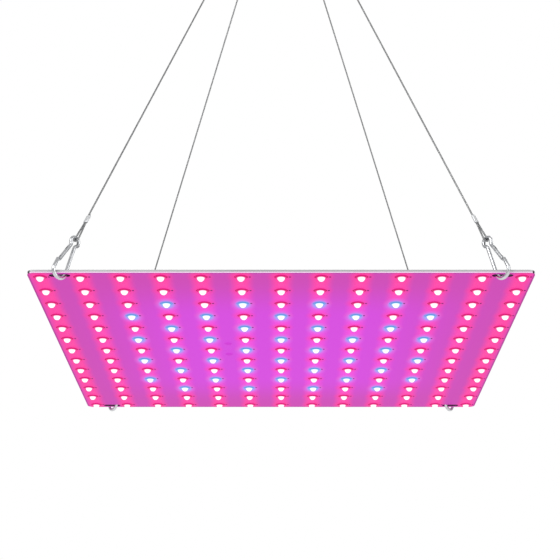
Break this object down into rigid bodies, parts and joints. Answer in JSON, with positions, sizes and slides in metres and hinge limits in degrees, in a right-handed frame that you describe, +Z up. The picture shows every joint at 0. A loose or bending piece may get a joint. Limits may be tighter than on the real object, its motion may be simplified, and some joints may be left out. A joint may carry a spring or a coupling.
{
  "type": "led grow light",
  "caption": "Thin square LED grow light panel hung level on wire ropes from one ring, with snap hooks at its corners and a driver box on its back.",
  "frame": {"origin": "the ring's seat: the top of its hole, where a ceiling hook carries it", "axes": "+Z up, +X to the right along the near edge of the panel, +Y from the near edge to the rear edge"},
  "size_m": [0.31, 0.3162, 0.4369],
  "materials": {
    "black_plastic": "moulded",
    "blue_lens": "clear lens, lit",
    "blue_plastic": "smooth",
    "bush_rubber": "matte",
    "capacitor_sleeve": "smooth sleeve",
    "case_plastic": "fine moulded grain",
    "circuit_face": "white coating lit magenta by the lamps, satin",
    "circuit_green": "coated board",
    "copper_wire": "enamelled windings",
    "ferrite": "sintered",
    "ferrule_metal": "crimped, satin",
    "green_plastic": "smooth",
    "hook_steel": "bright nickel plating",
    "inlet_plastic": "smooth",
    "lamp_package": "white moulded package",
    "lead_brown": "insulated lead",
    "lead_red": "insulated lead",
    "pin_steel": "plain",
    "plate_aluminium": "satin rolled sheet",
    "red_lens": "clear lens, lit",
    "ring_steel": "polished nickel plating",
    "screw_steel": "zinc plated",
    "sheet_plastic": "thin sheet",
    "spring_steel": "plain",
    "white_plastic": "smooth",
    "wire_steel": "stranded galvanised wire rope",
    "yellow_plastic": "smooth"
  },
  "bodies": {
    "ring": {"hanging_ring": "ring_steel"},
    "lamp": {"wire_near_left": "wire_steel", "wire_near_right": "wire_steel", "wire_rear_left": "wire_steel", "wire_rear_right": "wire_steel", "lower_ferrules": "ferrule_metal", "upper_ferrules": "ferrule_metal", "snap_hook_near_left": "hook_steel", "snap_hook_near_right": "hook_steel", "snap_hook_rear_left": "hook_steel", "snap_hook_rear_right": "hook_steel", "gate_pins": "pin_steel", "gate_springs": "spring_steel", "board_plate": "plate_aluminium", "circuit_layer": "circuit_face", "red_packages": "lamp_package", "blue_packages": "lamp_package", "red_lenses": "red_lens", "blue_lenses": "blue_lens", "feed_caps": "circuit_face", "feed_grommets": "bush_rubber", "driver_tray": "case_plastic", "driver_cover": "case_plastic", "tray_studs": "screw_steel", "tray_nuts": "screw_steel", "cover_screws": "screw_steel", "driver_pcb": "circuit_green", "pcb_screws": "screw_steel", "insulating_sheet": "sheet_plastic", "inlet_shell": "inlet_plastic", "inlet_pins": "pin_steel", "mains_leads": "lead_brown", "output_leads": "lead_red", "fuse": "white_plastic", "varistor": "blue_plastic", "film_capacitor": "yellow_plastic", "choke_core": "ferrite", "choke_windings": "copper_wire", "bridge_rectifier": "black_plastic", "bulk_capacitor": "capacitor_sleeve", "heat_sink": "plate_aluminium", "switch_transistor": "black_plastic", "controller_chip": "black_plastic", "transformer_core": "ferrite", "transformer_winding": "yellow_plastic", "output_capacitor": "capacitor_sleeve", "output_diode": "black_plastic", "output_terminal": "green_plastic"},
    "gate_near_left": {"gate_near_left": "hook_steel"},
    "gate_near_right": {"gate_near_right": "hook_steel"},
    "gate_rear_left": {"gate_rear_left": "hook_steel"},
    "gate_rear_right": {"gate_rear_right": "hook_steel"}
  },
  "joints": [
    {"name": "lamp_swing", "type": "hinge", "parent": "ring", "child": "lamp", "pos_m": [0, 0, -0.0185], "axis": [0, 1, 0], "range_deg": [-20, 20]},
    {"name": "gate_near_left_pivot", "type": "hinge", "parent": "lamp", "child": "gate_near_left", "pos_m": [-0.13056, -0.14836, -0.41022], "axis": [0.7507, -0.6606, 0], "range_deg": [0, 20], "stiffness_Nm_per_rad": 0.02, "springref_deg": -17.19},
    {"name": "gate_near_right_pivot", "type": "hinge", "parent": "lamp", "child": "gate_near_right", "pos_m": [0.13056, -0.14836, -0.41022], "axis": [0.7507, 0.6606, 0], "range_deg": [0, 20], "stiffness_Nm_per_rad": 0.02, "springref_deg": -17.19},
    {"name": "gate_rear_left_pivot", "type": "hinge", "parent": "lamp", "child": "gate_rear_left", "pos_m": [-0.13056, 0.14836, -0.41022], "axis": [-0.7507, -0.6606, 0], "range_deg": [0, 20], "stiffness_Nm_per_rad": 0.02, "springref_deg": -17.19},
    {"name": "gate_rear_right_pivot", "type": "hinge", "parent": "lamp", "child": "gate_rear_right", "pos_m": [0.13056, 0.14836, -0.41022], "axis": [-0.7507, 0.6606, 0], "range_deg": [0, 20], "stiffness_Nm_per_rad": 0.02, "springref_deg": -17.19}
  ]
}
